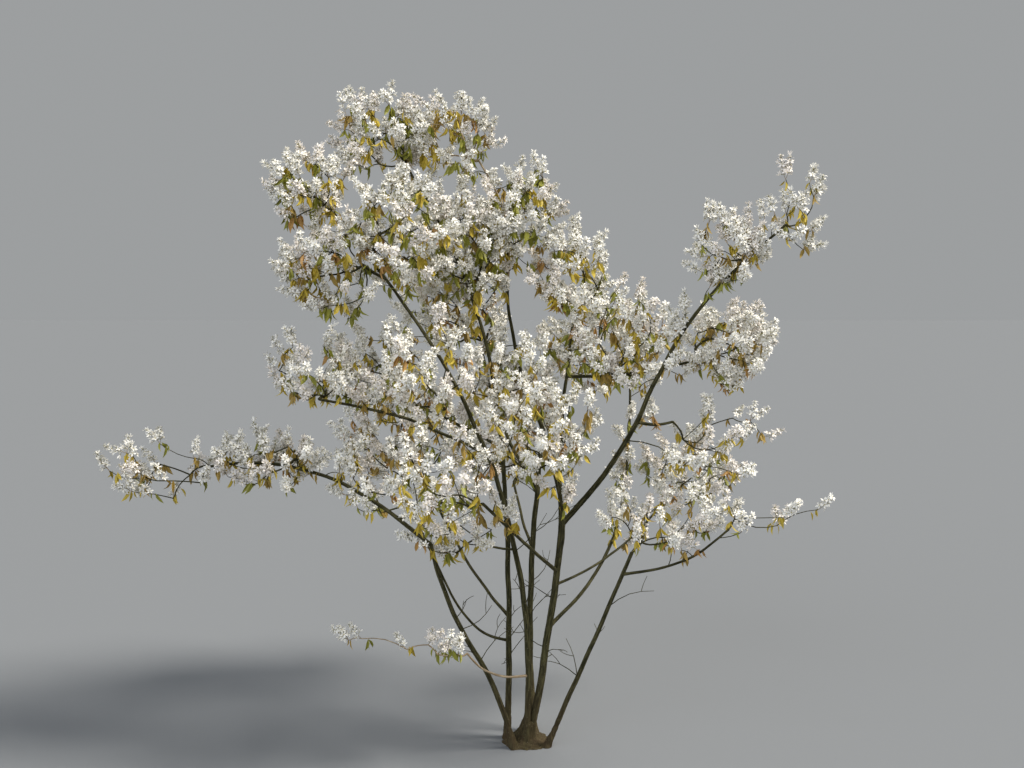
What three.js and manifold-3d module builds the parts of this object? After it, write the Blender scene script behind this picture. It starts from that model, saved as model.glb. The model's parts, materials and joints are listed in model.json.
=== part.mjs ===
// A young serviceberry in full blossom, 2.4 m tall: six stems from one root collar, the leaders,
// boughs and shoots that rise from them, and the masses of blossom that those bear.
//
// Millimetres, +Z up. The origin is at ground level in the middle of the clump, +X runs to the side
// of the tall outer bough, -X to the side of the long low one, and -Y to the front.
//
// Every limb is a tube bent along a curve and tapered to its tip. Every mass is grown by a rule inside
// an ellipsoid: twigs branch from one stem, and each twig ends in an open five-petalled blossom and
// young leaves that hang under it, all fused into one solid.

import * as THREE from "three";
import { mergeVertices } from "three/addons/utils/BufferGeometryUtils.js";
import Module from "manifold-3d";

// Joints between pieces
const WELD = 1e-3; // corners of a shape closer than this are one
const GAP = 0.3; // air between a piece and the one that it grows from
const CLEAR = 1.2; // air between pieces that only pass each other

// Foot of the clump
const COLLAR_TOP = 95; // height at which the stems part from the root collar
const FLARE_FALL = 34; // height in which the root flare falls to a third
const FLARE_SHARE = 0.9; // root flare, as a share of the stem's own radius
const DOME_RADIUS = 84;
const DOME_HEIGHT = 50;
const DOME_CENTRE = [-14, 12];
const DOME_SIDES = 10;
const DOME_RINGS = 3;
const COLLAR_MERGE = 1.5; // edges of the collar shorter than this are merged away
const BELOW = 40; // depth from which the stem tubes start, before the flat cut at the ground
const SLAB_SIZE = 800; // block that makes the level cuts through the clump

// Bark limbs
const STEM_SIDES = 8;
const STEM_CROWDING = 1.7; // power that crowds a stem's rings towards its flared foot
const BOUGH_SIDES = 6;
const STEP_LENGTH = 120; // length of one straight stretch of a limb
const LEAST_STEPS = 3;
const FLARE_STEPS = 2; // stretches that a stem has more, for its flare
const BRANCH_SWELL = 0.3; // swelling where a bough leaves its parent, as a share of its radius
const SWELL_FALL = 30; // length in which that swelling falls to a third

// Blossom and leaves
const BLOSSOM_RADIUS = 84;
const BLOSSOM_SIZES = [1, 0.8, 0.64]; // shares of that radius, the largest that finds room
const PETALS = 5;
const NOTCH = 0.6; // radius between two petals, as a share of the blossom's
const CUP = 18; // rise of the petal tips above the middle
const BLOSSOM_TOP = 12;
const BLOSSOM_UNDER = 24;
const LEAF = { length: 112, width: 38, thickness: 5, sunk: 12, drop: 0.75 };

// Growth of a mass
const BLOSSOMS = 7.6; // blossoms in a mass whose mean reach is USUAL_REACH
const USUAL_REACH = 160;
const BLOSSOM_GROWTH = 1.2; // power by which their number grows with the reach
const SPACING = 0.5; // least distance between two blossoms, as a share of the mass's mean reach
const TRIES = 90; // places tried in each mass
const MARGIN = 0.72; // how far the places keep inside the ellipsoid, as a share of a blossom's radius
const LEAST_ROOM = 0.3; // share of a short reach that the places still use
const HOLLOW = 0.15; // share of the ellipsoid's volume, at its middle, that has no places
const BRIDGE = 1.3; // how far, in reaches, the side towards the crown's heart may fill a gap to a neighbour
const CROWN_HEART = [-150, 0, 1500];
const FACE_UP = 0.6; // how far a blossom turns from its twig's direction up to the sky
const LEAF_EVERY = 3; // every third blossom has a leaf under it
const TWIG_RADIUS = 2.6; // at the foot of an end twig
const TWIG_GROWTH = 0.42; // power by which a twig thickens with the number of blossoms beyond it
const TWIG_ROOM = 2; // room kept round a twig, in times its end radius
const PATH_WEIGHT = 0.4; // how much a short way back to the stem counts when a twig picks its parent
const PARENTS = 3; // nearest parents that a twig may choose from
const MERGE = 0.3; // edges shorter than this are merged away
const SLIVER = 0.01; // the same, where a mass is cut clear of its limb

// Stems: foot on the ground, tip, bow of the middle away from a straight line, sway from side to side,
// and r, the radius above the flare and at the tip.
const STEMS = {
  stem_main: { foot: [-10, -12], tip: [115, -50, 835], bow: [10, 5, 0], r: [14.5, 12] },
  stem_left: { foot: [-55, -45], tip: [-345, -250, 805], bow: [0, 30, 0], sway: [22, 0, 0], r: [11, 7] },
  stem_inner_left: { foot: [-85, 40], tip: [-105, 0, 1125], bow: [16, -5, 0], r: [12.5, 7.5] },
  stem_centre: { foot: [-18, -30], tip: [-130, -100, 1040], bow: [55, 15, 0], r: [12.5, 8] },
  stem_back: { foot: [15, 85], tip: [55, 250, 1140], bow: [-30, -20, 0], r: [13, 9] },
  stem_right: { foot: [45, -35], tip: [350, -200, 765], bow: [4, 10, 0], r: [10, 6.5] },
};

// Leaders, boughs and shoots: the limb that each leaves, at which share of that limb's length, its
// tip, its bow, its sway from side to side, and r, its radius at the start and at the tip.
const BOUGHS = {
  bough_right_high: {
    from: "stem_main", at: 1, tip: [830, -315, 1885], bow: [-45, 0, 0], sway: [45, 0, 0], r: [11, 4],
  },
  leader_right: { from: "stem_main", at: 0.94, tip: [165, 100, 1590], bow: [-20, 10, 0], r: [9, 5] },
  bough_front_right: { from: "stem_main", at: 0.86, tip: [70, -260, 1075], bow: [25, -35, -20], r: [7, 5] },
  bough_front_left: { from: "stem_main", at: 0.8, tip: [-160, -450, 985], bow: [10, -15, -10], r: [7, 5] },
  bough_low_back: { from: "stem_main", at: 0.74, tip: [560, 430, 820], bow: [-10, 10, -55], r: [5, 4] },
  bough_back_right: { from: "stem_main", at: 0.56, tip: [430, 570, 1290], bow: [90, 0, -130], r: [7, 5] },
  bough_right_arm: {
    from: "bough_right_high", at: 0.36, tip: [500, -120, 1215], bow: [0, 10, -12], r: [6, 4.5],
  },
  bough_right_cross: { from: "leader_right", at: 0.72, tip: [600, 0, 1425], bow: [0, 5, -18], r: [6, 4.5] },
  bough_low_right: { from: "stem_right", at: 0.9, tip: [665, -300, 870], bow: [20, -10, -30], r: [6, 4.5] },
  bough_left_long: { from: "stem_left", at: 1, tip: [-1140, -165, 1060], bow: [0, 0, 115], r: [7.5, 4.5] },
  bough_left_mid: {
    from: "stem_inner_left", at: 0.93, tip: [-735, -185, 1300], bow: [0, -10, 42], r: [6.5, 4.5],
  },
  bough_left_inner: {
    from: "stem_inner_left", at: 0.98, tip: [-465, 110, 1265], bow: [0, 20, 10], r: [6, 4.5],
  },
  bough_left_low: { from: "stem_inner_left", at: 0.36, tip: [-390, -90, 815], bow: [0, 25, -120], r: [5, 4] },
  bough_back_left: { from: "stem_inner_left", at: 0.44, tip: [-420, 510, 905], bow: [-15, 20, -45], r: [6, 5] },
  bough_back_centre: { from: "stem_back", at: 0.62, tip: [-60, 450, 900], bow: [0, 30, -30], r: [6, 5] },
  leader_back: { from: "stem_back", at: 0.8, tip: [-190, 430, 1450], bow: [-20, 50, -40], r: [8, 5] },
  leader_up_right: { from: "stem_back", at: 1, tip: [-85, 190, 1840], bow: [-45, 15, 0], r: [9, 4.5] },
  leader_left: { from: "stem_centre", at: 1, tip: [-700, -90, 1960], bow: [70, -35, -20], r: [8, 4] },
  leader_top: { from: "stem_inner_left", at: 1, tip: [-480, 100, 2180], bow: [80, 20, 0], r: [7.5, 4] },
  shoot_top: { from: "leader_up_right", at: 0.8, tip: [-190, 120, 2160], bow: [45, -10, 20], r: [4.5, 3.5] },
  shoot_low: { from: "stem_centre", at: 0.28, tip: [-225, -180, 400], bow: [-20, -15, -32], r: [4.5, 3.5] },
};

// Masses of blossom: the limb that bears each, at which share of its length, the centre of the
// ellipsoid that it fills, and how far that reaches from its centre.
const MASSES = {
  blossom_peak_left: { on: "leader_top", at: 1, centre: [-560, 100, 2285], reach: [165, 150, 165] },
  blossom_peak_right: { on: "shoot_top", at: 1, centre: [-290, 120, 2285], reach: [160, 150, 155] },
  blossom_upper_left_tip: { on: "leader_left", at: 1, centre: [-790, -80, 2065], reach: [140, 130, 135] },
  blossom_upper_left: { on: "leader_left", at: 0.72, centre: [-705, -130, 1775], reach: [170, 170, 185] },
  blossom_upper_mid: { on: "leader_left", at: 0.8, centre: [-455, -210, 1910], reach: [175, 170, 210] },
  blossom_upper_centre: { on: "leader_top", at: 0.56, centre: [-250, 90, 1880], reach: [165, 170, 215] },
  blossom_upper_right: { on: "leader_up_right", at: 1, centre: [-20, 130, 2015], reach: [135, 145, 190] },
  blossom_right_shoulder: { on: "leader_right", at: 1, centre: [160, 120, 1775], reach: [150, 160, 180] },
  blossom_left_tip: { on: "bough_left_mid", at: 1, centre: [-780, -200, 1425], reach: [130, 130, 130] },
  blossom_left_inner: { on: "bough_left_inner", at: 1, centre: [-600, 100, 1400], reach: [170, 170, 165] },
  blossom_centre_left: { on: "leader_left", at: 0.3, centre: [-370, -290, 1430], reach: [165, 160, 195] },
  blossom_centre: { on: "leader_top", at: 0.14, centre: [-50, -20, 1375], reach: [165, 170, 180] },
  blossom_right_centre: { on: "bough_right_cross", at: 0.35, centre: [345, 20, 1540], reach: [190, 180, 175] },
  blossom_right_upper: { on: "bough_right_high", at: 0.86, centre: [665, -275, 1835], reach: [115, 120, 145] },
  blossom_right_tip: { on: "bough_right_high", at: 1, centre: [875, -320, 1970], reach: [85, 90, 150] },
  blossom_right_mid: { on: "bough_right_cross", at: 1, centre: [740, -20, 1500], reach: [155, 160, 160] },
  blossom_right_arm: { on: "bough_right_arm", at: 1, centre: [680, -90, 1200], reach: [180, 150, 115] },
  blossom_right_front: { on: "bough_right_high", at: 0.3, centre: [560, -400, 1130], reach: [165, 140, 90] },
  blossom_front_centre: { on: "bough_front_right", at: 1, centre: [40, -350, 1225], reach: [180, 160, 165] },
  blossom_front_left: { on: "bough_front_left", at: 1, centre: [-285, -500, 1100], reach: [175, 160, 160] },
  blossom_low_left: { on: "bough_left_long", at: 0.16, centre: [-540, -210, 1030], reach: [150, 150, 140] },
  blossom_low_centre: { on: "stem_centre", at: 0.72, centre: [-285, -210, 880], reach: [150, 140, 130] },
  blossom_low_right: { on: "stem_right", at: 1, centre: [440, -240, 915], reach: [230, 160, 115] },
  blossom_far_right: { on: "bough_low_right", at: 1, centre: [825, -310, 950], reach: [205, 120, 90] },
  blossom_long_mid: { on: "bough_left_long", at: 0.66, centre: [-920, -180, 1110], reach: [195, 125, 125] },
  blossom_long_outer: { on: "bough_left_long", at: 1, centre: [-1330, -150, 1075], reach: [195, 115, 125] },
  blossom_low_sprig: { on: "shoot_low", at: 1, centre: [-440, -255, 495], reach: [240, 85, 85] },
  blossom_back_upper: { on: "leader_back", at: 1, centre: [-310, 450, 1680], reach: [235, 215, 240] },
  blossom_back_left: { on: "bough_back_left", at: 1, centre: [-560, 520, 1140], reach: [240, 220, 230] },
  blossom_back_centre: { on: "bough_back_centre", at: 1, centre: [-110, 600, 1100], reach: [230, 200, 220] },
  blossom_back_right: { on: "bough_back_right", at: 1, centre: [300, 560, 1500], reach: [235, 210, 225] },
  blossom_low_back: { on: "bough_low_back", at: 1, centre: [680, 430, 970], reach: [215, 170, 140] },
};

const X_AXIS = new THREE.Vector3(1, 0, 0);
const Y_AXIS = new THREE.Vector3(0, 1, 0);
const UP = new THREE.Vector3(0, 0, 1);
const barkMaterial = new THREE.MeshStandardMaterial({ color: 0x5d5648, roughness: 0.85, flatShading: true });
const shootMaterial = new THREE.MeshStandardMaterial({ color: 0xa98f68, roughness: 0.8, flatShading: true });
const blossomMaterial = new THREE.MeshStandardMaterial({ color: 0xf1eee8, roughness: 0.7, flatShading: true });

const wasm = await Module();
wasm.setup();

// A closed three.js geometry as a solid that can be joined and cut.
function solid(geometry) {
  geometry.deleteAttribute("normal");
  geometry.deleteAttribute("uv");
  const merged = mergeVertices(geometry, WELD);
  return new wasm.Manifold(
    new wasm.Mesh({
      numProp: 3,
      vertProperties: merged.attributes.position.array,
      triVerts: new Uint32Array(merged.index.array),
    }),
  );
}

// The largest body of a solid, with any scrap dropped and any sealed hollow filled.
function largest(shape) {
  return shape.decompose().reduce((best, body) => (body.volume() > best.volume() ? body : best));
}

function meshOf(shape, name, material) {
  const { vertProperties, triVerts } = shape.getMesh();
  const geometry = new THREE.BufferGeometry();
  geometry.setAttribute("position", new THREE.BufferAttribute(new Float32Array(vertProperties), 3));
  geometry.setIndex(new THREE.BufferAttribute(new Uint32Array(triVerts), 1));
  geometry.computeVertexNormals();
  const mesh = new THREE.Mesh(geometry, material);
  mesh.name = name;
  return mesh;
}

// The middle line of a limb: straight from start to tip, then bowed and swayed.
class LimbCurve extends THREE.Curve {
  constructor(start, tip, bow = [0, 0, 0], sway = [0, 0, 0]) {
    super();
    this.start = start;
    this.tip = tip;
    this.bow = new THREE.Vector3(...bow);
    this.sway = new THREE.Vector3(...sway);
    this.leansBack = Math.abs(tip.y - start.y) > Math.abs(tip.x - start.x);
  }

  getPoint(t, target = new THREE.Vector3()) {
    return target
      .lerpVectors(this.start, this.tip, t)
      .addScaledVector(this.bow, Math.sin(Math.PI * t))
      .addScaledVector(this.sway, Math.sin(2 * Math.PI * t));
  }
}

// A closed cylinder bent along the limb's curve, with its own radius at every share of its length.
// Its rings are squared to the curve about a side direction that the limb's run never comes near.
// grow swells it all over, for the space that its neighbours keep clear of.
function tube({ curve, radiusAt, sides, steps, crowding }, grow = 0) {
  const swell = grow / Math.cos(Math.PI / sides);
  const geometry = new THREE.CylinderGeometry(1, 1, 1, sides, steps);
  const position = geometry.attributes.position;
  const side = curve.tip.clone().sub(curve.start).cross(curve.leansBack ? X_AXIS : Y_AXIS);
  const point = new THREE.Vector3();
  for (let i = 0; i < position.count; i++) {
    const step = Math.round((position.getY(i) + 0.5) * steps);
    const share = (step / steps) ** crowding;
    const radius = radiusAt(share) + swell;
    const along = curve.getTangentAt(share);
    const across = side.clone().cross(along).normalize();
    const over = across.clone().cross(along);
    curve.getPointAt(share, point);
    if (step === 0) point.addScaledVector(along, -grow);
    if (step === steps) point.addScaledVector(along, grow);
    point.addScaledVector(across, radius * position.getX(i));
    point.addScaledVector(over, radius * position.getZ(i));
    position.setXYZ(i, point.x, point.y, point.z);
  }
  return solid(geometry);
}

// A flat block over the whole clump, for level cuts.
function slab(low, high) {
  return solid(new THREE.BoxGeometry(SLAB_SIZE, SLAB_SIZE, high - low).translate(0, 0, (low + high) / 2));
}

const limbs = {};

// Cuts a limb clear of those that it grows from or starts beside, and keeps it.
function addLimb(name, limb, shape) {
  for (const other of Object.values(limbs)) {
    if (shape.minGap(other.shape, 2 * GAP) < GAP) shape = largest(shape.subtract(tube(other, GAP)));
  }
  limbs[name] = { ...limb, shape };
}

function stemLimb({ foot, tip, bow, sway, r: [low, high] }) {
  const start = new THREE.Vector3(foot[0], foot[1], -BELOW);
  const curve = new LimbCurve(start, new THREE.Vector3(...tip), bow, sway);
  const length = curve.getLength();
  const radiusAt = (t) => {
    const above = Math.max(0, t * length - BELOW);
    return low + (high - low) * t + low * FLARE_SHARE * Math.exp(-above / FLARE_FALL);
  };
  const steps = Math.round(length / STEP_LENGTH) + FLARE_STEPS;
  return { curve, radiusAt, sides: STEM_SIDES, steps, crowding: STEM_CROWDING };
}

function boughLimb({ from, at, tip, bow, sway, r: [low, high] }) {
  const start = limbs[from].curve.getPointAt(at);
  const curve = new LimbCurve(start, new THREE.Vector3(...tip), bow, sway);
  const length = curve.getLength();
  const swelling = at < 1 ? BRANCH_SWELL * low : 0;
  const radiusAt = (t) => low + (high - low) * t + swelling * Math.exp((-t * length) / SWELL_FALL);
  const steps = Math.max(LEAST_STEPS, Math.round(length / STEP_LENGTH));
  return { curve, radiusAt, sides: BOUGH_SIDES, steps, crowding: 1 };
}

// The collar: the flared feet of all stems and the burl between them, cut flat at the ground.
function rootCollar(stems) {
  const arc = new THREE.EllipseCurve(0, 0, DOME_RADIUS, DOME_HEIGHT, 0, Math.PI / 2).getPoints(DOME_RINGS);
  const profile = [new THREE.Vector2(0, -BELOW), new THREE.Vector2(DOME_RADIUS, -BELOW), ...arc];
  const dome = new THREE.LatheGeometry(profile, DOME_SIDES).rotateX(Math.PI / 2).translate(...DOME_CENTRE, 0);
  const feet = stems.map((stem) => tube(stem));
  const fused = wasm.Manifold.union([solid(dome), ...feet]);
  return largest(fused.intersect(slab(0, COLLAR_TOP))).simplify(COLLAR_MERGE);
}

function halton(index, base) {
  let result = 0;
  for (let share = 1 / base, rest = index; rest > 0; rest = Math.floor(rest / base), share /= base) {
    result += share * (rest % base);
  }
  return result;
}

// Turns a geometry's +Y along a direction, after a spin about that axis, and moves it to a place.
function aim(geometry, direction, place, spin = 0) {
  const turn = new THREE.Quaternion().setFromUnitVectors(Y_AXIS, direction.clone().normalize());
  return geometry.rotateY(spin).applyQuaternion(turn).translate(place.x, place.y, place.z);
}

function blossom(place, direction, spin, size) {
  const geometry = new THREE.SphereGeometry(1, 2 * PETALS, 2);
  const position = geometry.attributes.position;
  for (let i = 0; i < position.count; i++) {
    const [x, y, z] = [position.getX(i), position.getY(i), position.getZ(i)];
    if (Math.abs(y) > 0.5) {
      position.setXYZ(i, 0, y > 0 ? BLOSSOM_TOP : -BLOSSOM_UNDER, 0);
      continue;
    }
    const spoke = Math.round((Math.atan2(z, x) * PETALS) / Math.PI);
    const radius = BLOSSOM_RADIUS * (spoke % 2 ? NOTCH : 1);
    position.setXYZ(i, x * radius, spoke % 2 ? 0 : CUP, z * radius);
  }
  return solid(aim(geometry.scale(size, size, size), direction, place, spin));
}

function leaf(place, direction) {
  const { length, width, thickness, sunk } = LEAF;
  const geometry = new THREE.OctahedronGeometry(1).scale(width / 2, length / 2, thickness / 2);
  return solid(aim(geometry.translate(0, length / 2 - sunk, 0), direction, place));
}

function twig(start, end, radius) {
  const run = end.clone().sub(start);
  const geometry = new THREE.ConeGeometry(radius, run.length(), 3).translate(0, run.length() / 2, 0);
  return solid(aim(geometry, run, start));
}

function nearness(point, { centre, reach }) {
  return Math.hypot(...["x", "y", "z"].map((axis, i) => (point[axis] - centre[i]) / reach[i]));
}

// Places for the blossoms of a mass: one at its far end, the others spread by a fixed sequence through
// its ellipsoid and the gaps between it and its neighbours towards the crown's heart, each inside its own
// space, with room for a blossom and apart from the others. They come back in order of their distance
// from the stem's foot.
function blossomPlaces(mass, order, root, free) {
  const middle = new THREE.Vector3(...mass.centre);
  const within = (reach) => Math.max(reach - BLOSSOM_RADIUS * MARGIN, reach * LEAST_ROOM);
  const inner = new THREE.Vector3(...mass.reach.map(within));
  const mean = Math.cbrt(mass.reach[0] * mass.reach[1] * mass.reach[2]);
  const wanted = Math.round(BLOSSOMS * (mean / USUAL_REACH) ** BLOSSOM_GROWTH);
  const farEnd = middle.clone().sub(root).normalize();
  const inward = new THREE.Vector3(...CROWN_HEART).sub(middle);
  const neighbours = Object.values(MASSES).filter((other) => other !== mass);
  const places = [];
  for (let i = 0; i <= TRIES && places.length < wanted; i++) {
    const index = i + (TRIES + 1) * order;
    const rise = 1 - 2 * halton(index, 2);
    const round = 2 * Math.PI * halton(index, 3);
    const out = Math.cbrt(HOLLOW + (1 - HOLLOW) * halton(index, 5));
    const flat = Math.sqrt(1 - rise * rise);
    const spread = new THREE.Vector3(flat * Math.cos(round), flat * Math.sin(round), rise);
    spread.multiplyScalar(spread.dot(inward) > 0 ? out * BRIDGE : out);
    const place = (i ? spread : farEnd).multiply(inner).add(middle);
    const own = nearness(place, mass);
    const next = Math.min(...neighbours.map((other) => nearness(place, other)));
    if (own > next || (own > 1 && next > BRIDGE)) continue;
    if (places.some((p) => p.distanceTo(place) < SPACING * mean)) continue;
    if (free(blossom(place, UP, 0, BLOSSOM_SIZES.at(-1)))) places.push(place);
  }
  return places.sort((a, b) => a.distanceTo(root) - b.distanceTo(root));
}

// Grows one mass from one stem. Each place joins the tree of twigs at the node with the shortest way
// back, and whatever would touch a limb or another mass is left out.
function growMass(name, order, grown) {
  const mass = MASSES[name];
  const middle = new THREE.Vector3(...mass.centre);
  const bearer = limbs[mass.on];
  const others = [...Object.values(limbs).map((limb) => limb.shape), ...grown];
  const free = (shape, allowed) =>
    others.every((other) => other === allowed || shape.minGap(other, 2 * CLEAR) > CLEAR);
  const root = { place: bearer.curve.getPointAt(mass.at), path: 0, parent: null, beyond: 0 };
  const nodes = [];
  const bits = [];
  for (const place of blossomPlaces(mass, order, root.place, free)) {
    const cost = (node) => node.place.distanceTo(place) + PATH_WEIGHT * node.path;
    const parents = nodes.length ? [...nodes].sort((a, b) => cost(a) - cost(b)).slice(0, PARENTS) : [root];
    const parent = parents.find((node) =>
      free(twig(node.place, place, TWIG_ROOM * TWIG_RADIUS), node === root ? bearer.shape : null),
    );
    if (!parent) continue;
    const outward = place.clone().sub(middle).normalize();
    const facing = place.clone().sub(parent.place).normalize().add(outward).addScaledVector(UP, FACE_UP);
    const spin = 2 * Math.PI * halton(nodes.length + order + 1, 7);
    const flower = BLOSSOM_SIZES.map((size) => blossom(place, facing, spin, size)).find((it) => free(it));
    if (!flower) continue;
    bits.push(flower);
    nodes.push({ place, parent, path: parent.path + parent.place.distanceTo(place), beyond: 0 });
    const hanging = outward.clone().setZ(0).normalize().addScaledVector(UP, -LEAF.drop);
    const green = leaf(place, hanging);
    if (nodes.length % LEAF_EVERY === 0 && free(green)) bits.push(green);
  }
  for (const node of nodes) {
    for (let below = node; below; below = below.parent) below.beyond++;
  }
  for (const { place, parent, beyond } of nodes) {
    bits.push(twig(parent.place, place, TWIG_RADIUS * beyond ** TWIG_GROWTH));
  }
  const fused = largest(wasm.Manifold.union(bits)).simplify(MERGE);
  return largest(fused.subtract(tube(bearer, GAP)).simplify(SLIVER));
}

const group = new THREE.Group();

const stemParts = Object.fromEntries(Object.entries(STEMS).map(([name, stem]) => [name, stemLimb(stem)]));
group.add(meshOf(rootCollar(Object.values(stemParts)), "root_collar", barkMaterial));
const foot = slab(-BELOW * 2, COLLAR_TOP + GAP);
for (const [name, stem] of Object.entries(stemParts)) addLimb(name, stem, tube(stem).subtract(foot));
for (const [name, bough] of Object.entries(BOUGHS)) {
  const limb = boughLimb(bough);
  addLimb(name, limb, tube(limb));
}
for (const [name, limb] of Object.entries(limbs)) {
  group.add(meshOf(limb.shape, name, name.startsWith("shoot") ? shootMaterial : barkMaterial));
}

const grown = [];
Object.keys(MASSES).forEach((name, order) => {
  const shape = growMass(name, order, grown);
  grown.push(shape);
  group.add(meshOf(shape, name, blossomMaterial));
});

export default group;
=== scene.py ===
import json
from collections import namedtuple
from math import ceil, cos, exp, hypot, pi, radians, sin, sqrt
from random import Random

import bmesh
import bpy
import numpy as np
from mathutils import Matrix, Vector, noise

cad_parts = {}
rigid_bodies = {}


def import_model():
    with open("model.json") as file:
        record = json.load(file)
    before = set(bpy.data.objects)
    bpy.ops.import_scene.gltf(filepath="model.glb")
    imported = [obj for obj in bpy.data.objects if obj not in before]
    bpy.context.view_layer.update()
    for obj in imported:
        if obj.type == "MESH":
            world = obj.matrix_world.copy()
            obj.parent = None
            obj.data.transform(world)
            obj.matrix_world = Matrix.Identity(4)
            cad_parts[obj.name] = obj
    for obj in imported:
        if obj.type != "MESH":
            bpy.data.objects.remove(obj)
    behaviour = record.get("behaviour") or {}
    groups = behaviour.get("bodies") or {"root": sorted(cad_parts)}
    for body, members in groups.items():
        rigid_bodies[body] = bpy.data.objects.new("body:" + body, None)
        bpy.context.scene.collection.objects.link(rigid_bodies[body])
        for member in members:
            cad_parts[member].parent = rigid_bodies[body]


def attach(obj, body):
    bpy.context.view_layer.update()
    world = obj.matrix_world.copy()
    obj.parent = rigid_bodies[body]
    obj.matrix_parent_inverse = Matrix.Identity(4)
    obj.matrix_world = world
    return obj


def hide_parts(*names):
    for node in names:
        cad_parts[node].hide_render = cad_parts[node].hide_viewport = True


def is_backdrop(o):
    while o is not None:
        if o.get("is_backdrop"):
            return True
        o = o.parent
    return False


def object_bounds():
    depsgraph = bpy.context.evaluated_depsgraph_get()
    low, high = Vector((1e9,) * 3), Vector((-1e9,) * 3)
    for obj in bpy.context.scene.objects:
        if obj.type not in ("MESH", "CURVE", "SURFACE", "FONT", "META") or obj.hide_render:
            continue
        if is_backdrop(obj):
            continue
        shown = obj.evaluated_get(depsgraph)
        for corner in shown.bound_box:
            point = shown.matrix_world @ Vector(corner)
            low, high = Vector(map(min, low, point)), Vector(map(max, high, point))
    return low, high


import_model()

cad_low, cad_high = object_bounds()

# Camera. It stands at eye height in front of the tree and looks a little down at it.
EYE = (-0.067, -3.63, 1.6)
TILT_DOWN = radians(4.1)
LENS = 35.16

camera = bpy.data.objects.new("camera", bpy.data.cameras.new("camera"))
camera.data.lens = LENS
camera.location = EYE
camera.rotation_euler = (pi / 2 - TILT_DOWN, 0, 0)
bpy.context.collection.objects.link(camera)
bpy.context.scene.camera = camera


# Stems. Six living stems rise from one root collar and lean apart, each tapering from a flared foot.
# Their bark is smooth, grey with an olive cast, with fine cracks along it and small raised pores.

# Foot on the ground, tip, bow of the middle away from a straight line, and the radius above the flare and
# at the tip.
STEMS = {
    "stem_main": ((-0.01, -0.012), (0.115, -0.05, 0.835), (0.01, 0.005, 0), (0.0145, 0.012)),
    "stem_left": ((-0.055, -0.045), (-0.345, -0.25, 0.805), (0, 0.03, 0), (0.011, 0.007)),
    "stem_inner_left": ((-0.085, 0.04), (-0.105, 0, 1.125), (0.016, -0.005, 0), (0.0125, 0.0075)),
    "stem_centre": ((-0.018, -0.03), (-0.13, -0.1, 1.04), (0.055, 0.015, 0), (0.0125, 0.008)),
    "stem_back": ((0.015, 0.085), (0.055, 0.25, 1.14), (-0.03, -0.02, 0), (0.013, 0.009)),
    "stem_right": ((0.045, -0.035), (0.35, -0.2, 0.765), (0.004, 0.01, 0), (0.01, 0.0065)),
}
# Limbs that also sway, to one side in their lower half and back to the other in their upper half.
SWAY = {"stem_left": (0.022, 0, 0), "bough_right_high": (0.045, 0, 0)}
BELOW = 0.040  # depth from which the stems start, under the flat cut at the ground
FLARE_FALL = 0.034  # height in which the root flare falls to a third
FLARE_SHARE = 0.9  # root flare, as a share of the stem's own radius
RUN_POINTS = 201  # points at which a limb's even run is measured
RING_STEP = 0.007  # distance between two rings of a limb's mesh
STRAY = 0.005  # how far a limb strays from its even run
STRAY_LENGTH = 0.13  # length of one such bend
STRAY_SEED = 3  # picks the bends, which would otherwise differ from run to run
STRAY_SHIFT = (40, 70)  # turns the place of a limb's tip into the limb's own stretch of the noise
STEM_FOOT = 0.066  # height at which a stem starts inside the collar
STEM_SINK = 0.0045  # how far its lower end is sunk into the collar's bark
SINK_HEIGHT = 0.034  # height in which a stem, or its foot, sinks under the other
# Bark of a stem: its sides, the depth of its relief as a share of the radius, and the size of its marks.
STEM_SKIN = dict(sides=22, relief=0.055, crack_width=0.006, crack_length=0.05, lump_length=0.03)
LUMP_RISE = 3  # height of the bark's lumps, against the depth of its cracks
CRACK_DEPTH = 0.5
CRACK_STEEPNESS = 9  # how steeply a crack's sides fall
NOISE_MEAN = 0.5
STREAK_EDGES = (0.38, 0.66)  # levels of the noise at which a pale streak starts and is full
PORE_EDGES = (0.16, 0.07)  # distance from a pore's middle at which it starts and is full
PORE_SCALE = 0.3  # pores in a run as long as a pore
STAIN_HEIGHTS = (0.34, 0.02)  # height at which the brown stain of the foot starts and is full
STAIN_PATCHES = 22  # how many of its patches lie in a metre
BUMP_HEIGHT = 0.0006  # height of the pale streaks and pores

# A limb's middle line: points, radius at each, and distance along it.
Limb = namedtuple("Limb", "points radii along")
limbs = {}
noise.seed_set(STRAY_SEED)


def limb_line(start, tip, bow, sway, radii, flare=0, fall=1, bare=0):
    """A limb bowed and swayed off the straight, straying a little, with its taper and its swollen foot."""
    t = np.linspace(0, 1, RUN_POINTS)[:, None]
    start, tip = np.array(start), np.array(tip)
    even = (1 - t) * start + t * tip + np.sin(pi * t) * np.array(bow) + np.sin(2 * pi * t) * np.array(sway)
    run = np.append(0, np.cumsum(np.linalg.norm(np.diff(even, axis=0), axis=1)))
    along = np.linspace(0, run[-1], ceil(run[-1] / RING_STEP) + 1)
    points = np.stack([np.interp(along, run, column) for column in even.T], axis=1)
    hold = np.clip(np.minimum(along, run[-1] - along) / STRAY_LENGTH, 0, 1)
    own = STRAY_SHIFT[0] * tip[0] + STRAY_SHIFT[1] * tip[1]
    bends = [noise.noise_vector(Vector((own, s / STRAY_LENGTH, tip[2]))) for s in along]
    points += STRAY * hold[:, None] * np.array(bends)
    above = np.maximum(0, along - bare)
    swollen = flare * np.exp(-above / fall)
    return Limb(points, radii[0] + (radii[1] - radii[0]) * along / run[-1] + swollen, along)


def point_at(limb, share):
    """The place on a limb's middle line at a share of its length."""
    return Vector([np.interp(share * limb.along[-1], limb.along, column) for column in limb.points.T])


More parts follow.
